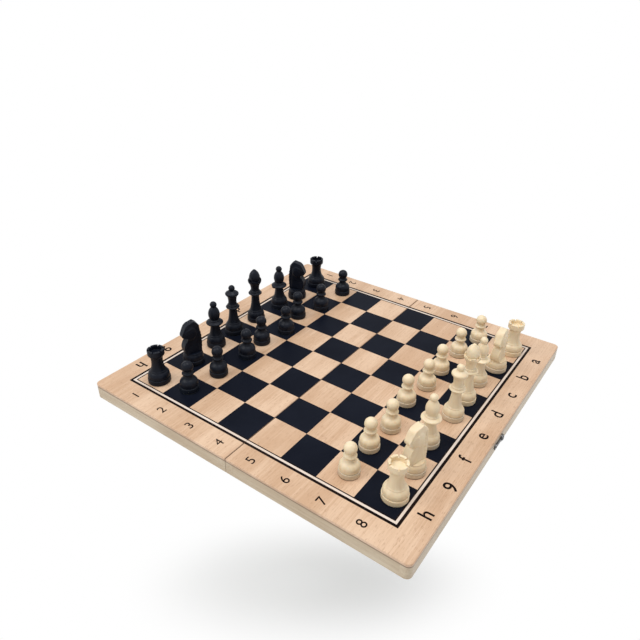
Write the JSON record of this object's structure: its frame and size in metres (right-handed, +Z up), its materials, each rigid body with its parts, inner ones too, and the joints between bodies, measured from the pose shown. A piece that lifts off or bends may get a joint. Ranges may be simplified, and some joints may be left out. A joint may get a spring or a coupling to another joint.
{
  "type": "portable chess set",
  "caption": "Folding magnetic chess board in two hinged trays, open and set up for play with its black and ivory men.",
  "frame": {"origin": "on the surface that the open board stands on, under the middle of the fold", "axes": "+Z up, +X from rank 1 to rank 8 across the fold, +Y from file h to file a along the fold"},
  "size_m": [0.292, 0.288, 0.0678],
  "materials": {
    "panel_wood": "satin lacquered beech, printed squares and border",
    "rail_wood": "sanded pale wood, thin lacquer",
    "sheet_steel": "bare cold rolled sheet",
    "felt": "thin green felt",
    "brass": "brass plated steel",
    "clasp_steel": "dark nickel plated",
    "black_plastic": "moulded, satin",
    "white_plastic": "moulded ivory, satin"
  },
  "bodies": {
    "half_a": {"playing_panel_a": "panel_wood", "outer_rail_a": "rail_wood", "hinge_rail_a": "rail_wood", "near_rail_a": "rail_wood", "far_rail_a": "rail_wood", "steel_sheet_a": "sheet_steel", "tray_lining_a": "felt", "hinge_leaves_a": "brass", "hinge_screws_a": "brass", "hinge_pins": "brass", "catch_pin": "clasp_steel"},
    "half_b": {"playing_panel_b": "panel_wood", "outer_rail_b": "rail_wood", "hinge_rail_b": "rail_wood", "near_rail_b": "rail_wood", "far_rail_b": "rail_wood", "steel_sheet_b": "sheet_steel", "tray_lining_b": "felt", "hinge_leaves_b": "brass", "hinge_screws_b": "brass", "latch_screw": "clasp_steel"},
    "latch": {"latch_hook": "clasp_steel"},
    "black_king": {"black_king": "black_plastic"},
    "black_queen": {"black_queen": "black_plastic"},
    "black_rook_a": {"black_rook_a": "black_plastic"},
    "black_rook_h": {"black_rook_h": "black_plastic"},
    "black_knight_b": {"black_knight_b": "black_plastic"},
    "black_knight_g": {"black_knight_g": "black_plastic"},
    "black_bishop_c": {"black_bishop_c": "black_plastic"},
    "black_bishop_f": {"black_bishop_f": "black_plastic"},
    "black_pawn_a": {"black_pawn_a": "black_plastic"},
    "black_pawn_b": {"black_pawn_b": "black_plastic"},
    "black_pawn_c": {"black_pawn_c": "black_plastic"},
    "black_pawn_d": {"black_pawn_d": "black_plastic"},
    "black_pawn_e": {"black_pawn_e": "black_plastic"},
    "black_pawn_f": {"black_pawn_f": "black_plastic"},
    "black_pawn_g": {"black_pawn_g": "black_plastic"},
    "black_pawn_h": {"black_pawn_h": "black_plastic"},
    "white_king": {"white_king": "white_plastic"},
    "white_queen": {"white_queen": "white_plastic"},
    "white_rook_a": {"white_rook_a": "white_plastic"},
    "white_rook_h": {"white_rook_h": "white_plastic"},
    "white_knight_b": {"white_knight_b": "white_plastic"},
    "white_knight_g": {"white_knight_g": "white_plastic"},
    "white_bishop_c": {"white_bishop_c": "white_plastic"},
    "white_bishop_f": {"white_bishop_f": "white_plastic"},
    "white_pawn_a": {"white_pawn_a": "white_plastic"},
    "white_pawn_b": {"white_pawn_b": "white_plastic"},
    "white_pawn_c": {"white_pawn_c": "white_plastic"},
    "white_pawn_d": {"white_pawn_d": "white_plastic"},
    "white_pawn_e": {"white_pawn_e": "white_plastic"},
    "white_pawn_f": {"white_pawn_f": "white_plastic"},
    "white_pawn_g": {"white_pawn_g": "white_plastic"},
    "white_pawn_h": {"white_pawn_h": "white_plastic"}
  },
  "joints": [
    {"name": "board_fold", "type": "hinge", "parent": "half_a", "child": "half_b", "pos_m": [0, 0, 0.0014], "axis": [0, 1, 0], "range_deg": [0, 180]},
    {"name": "latch_swing", "type": "hinge", "parent": "half_b", "child": "latch", "pos_m": [0.1446, 0, 0.0075], "axis": [1, 0, 0], "range_deg": [0, 90]},
    {"name": "black_king_lift", "type": "slide", "parent": "half_a", "child": "black_king", "axis": [0, 0, 1], "range_m": [0, 0.075]},
    {"name": "black_queen_lift", "type": "slide", "parent": "half_a", "child": "black_queen", "axis": [0, 0, 1], "range_m": [0, 0.075]},
    {"name": "black_rook_a_lift", "type": "slide", "parent": "half_a", "child": "black_rook_a", "axis": [0, 0, 1], "range_m": [0, 0.075]},
    {"name": "black_rook_h_lift", "type": "slide", "parent": "half_a", "child": "black_rook_h", "axis": [0, 0, 1], "range_m": [0, 0.075]},
    {"name": "black_knight_b_lift", "type": "slide", "parent": "half_a", "child": "black_knight_b", "axis": [0, 0, 1], "range_m": [0, 0.075]},
    {"name": "black_knight_g_lift", "type": "slide", "parent": "half_a", "child": "black_knight_g", "axis": [0, 0, 1], "range_m": [0, 0.075]},
    {"name": "black_bishop_c_lift", "type": "slide", "parent": "half_a", "child": "black_bishop_c", "axis": [0, 0, 1], "range_m": [0, 0.075]},
    {"name": "black_bishop_f_lift", "type": "slide", "parent": "half_a", "child": "black_bishop_f", "axis": [0, 0, 1], "range_m": [0, 0.075]},
    {"name": "black_pawn_a_lift", "type": "slide", "parent": "half_a", "child": "black_pawn_a", "axis": [0, 0, 1], "range_m": [0, 0.075]},
    {"name": "black_pawn_b_lift", "type": "slide", "parent": "half_a", "child": "black_pawn_b", "axis": [0, 0, 1], "range_m": [0, 0.075]},
    {"name": "black_pawn_c_lift", "type": "slide", "parent": "half_a", "child": "black_pawn_c", "axis": [0, 0, 1], "range_m": [0, 0.075]},
    {"name": "black_pawn_d_lift", "type": "slide", "parent": "half_a", "child": "black_pawn_d", "axis": [0, 0, 1], "range_m": [0, 0.075]},
    {"name": "black_pawn_e_lift", "type": "slide", "parent": "half_a", "child": "black_pawn_e", "axis": [0, 0, 1], "range_m": [0, 0.075]},
    {"name": "black_pawn_f_lift", "type": "slide", "parent": "half_a", "child": "black_pawn_f", "axis": [0, 0, 1], "range_m": [0, 0.075]},
    {"name": "black_pawn_g_lift", "type": "slide", "parent": "half_a", "child": "black_pawn_g", "axis": [0, 0, 1], "range_m": [0, 0.075]},
    {"name": "black_pawn_h_lift", "type": "slide", "parent": "half_a", "child": "black_pawn_h", "axis": [0, 0, 1], "range_m": [0, 0.075]},
    {"name": "white_king_lift", "type": "slide", "parent": "half_b", "child": "white_king", "axis": [0, 0, 1], "range_m": [0, 0.075]},
    {"name": "white_queen_lift", "type": "slide", "parent": "half_b", "child": "white_queen", "axis": [0, 0, 1], "range_m": [0, 0.075]},
    {"name": "white_rook_a_lift", "type": "slide", "parent": "half_b", "child": "white_rook_a", "axis": [0, 0, 1], "range_m": [0, 0.075]},
    {"name": "white_rook_h_lift", "type": "slide", "parent": "half_b", "child": "white_rook_h", "axis": [0, 0, 1], "range_m": [0, 0.075]},
    {"name": "white_knight_b_lift", "type": "slide", "parent": "half_b", "child": "white_knight_b", "axis": [0, 0, 1], "range_m": [0, 0.075]},
    {"name": "white_knight_g_lift", "type": "slide", "parent": "half_b", "child": "white_knight_g", "axis": [0, 0, 1], "range_m": [0, 0.075]},
    {"name": "white_bishop_c_lift", "type": "slide", "parent": "half_b", "child": "white_bishop_c", "axis": [0, 0, 1], "range_m": [0, 0.075]},
    {"name": "white_bishop_f_lift", "type": "slide", "parent": "half_b", "child": "white_bishop_f", "axis": [0, 0, 1], "range_m": [0, 0.075]},
    {"name": "white_pawn_a_lift", "type": "slide", "parent": "half_b", "child": "white_pawn_a", "axis": [0, 0, 1], "range_m": [0, 0.075]},
    {"name": "white_pawn_b_lift", "type": "slide", "parent": "half_b", "child": "white_pawn_b", "axis": [0, 0, 1], "range_m": [0, 0.075]},
    {"name": "white_pawn_c_lift", "type": "slide", "parent": "half_b", "child": "white_pawn_c", "axis": [0, 0, 1], "range_m": [0, 0.075]},
    {"name": "white_pawn_d_lift", "type": "slide", "parent": "half_b", "child": "white_pawn_d", "axis": [0, 0, 1], "range_m": [0, 0.075]},
    {"name": "white_pawn_e_lift", "type": "slide", "parent": "half_b", "child": "white_pawn_e", "axis": [0, 0, 1], "range_m": [0, 0.075]},
    {"name": "white_pawn_f_lift", "type": "slide", "parent": "half_b", "child": "white_pawn_f", "axis": [0, 0, 1], "range_m": [0, 0.075]},
    {"name": "white_pawn_g_lift", "type": "slide", "parent": "half_b", "child": "white_pawn_g", "axis": [0, 0, 1], "range_m": [0, 0.075]},
    {"name": "white_pawn_h_lift", "type": "slide", "parent": "half_b", "child": "white_pawn_h", "axis": [0, 0, 1], "range_m": [0, 0.075]}
  ]
}
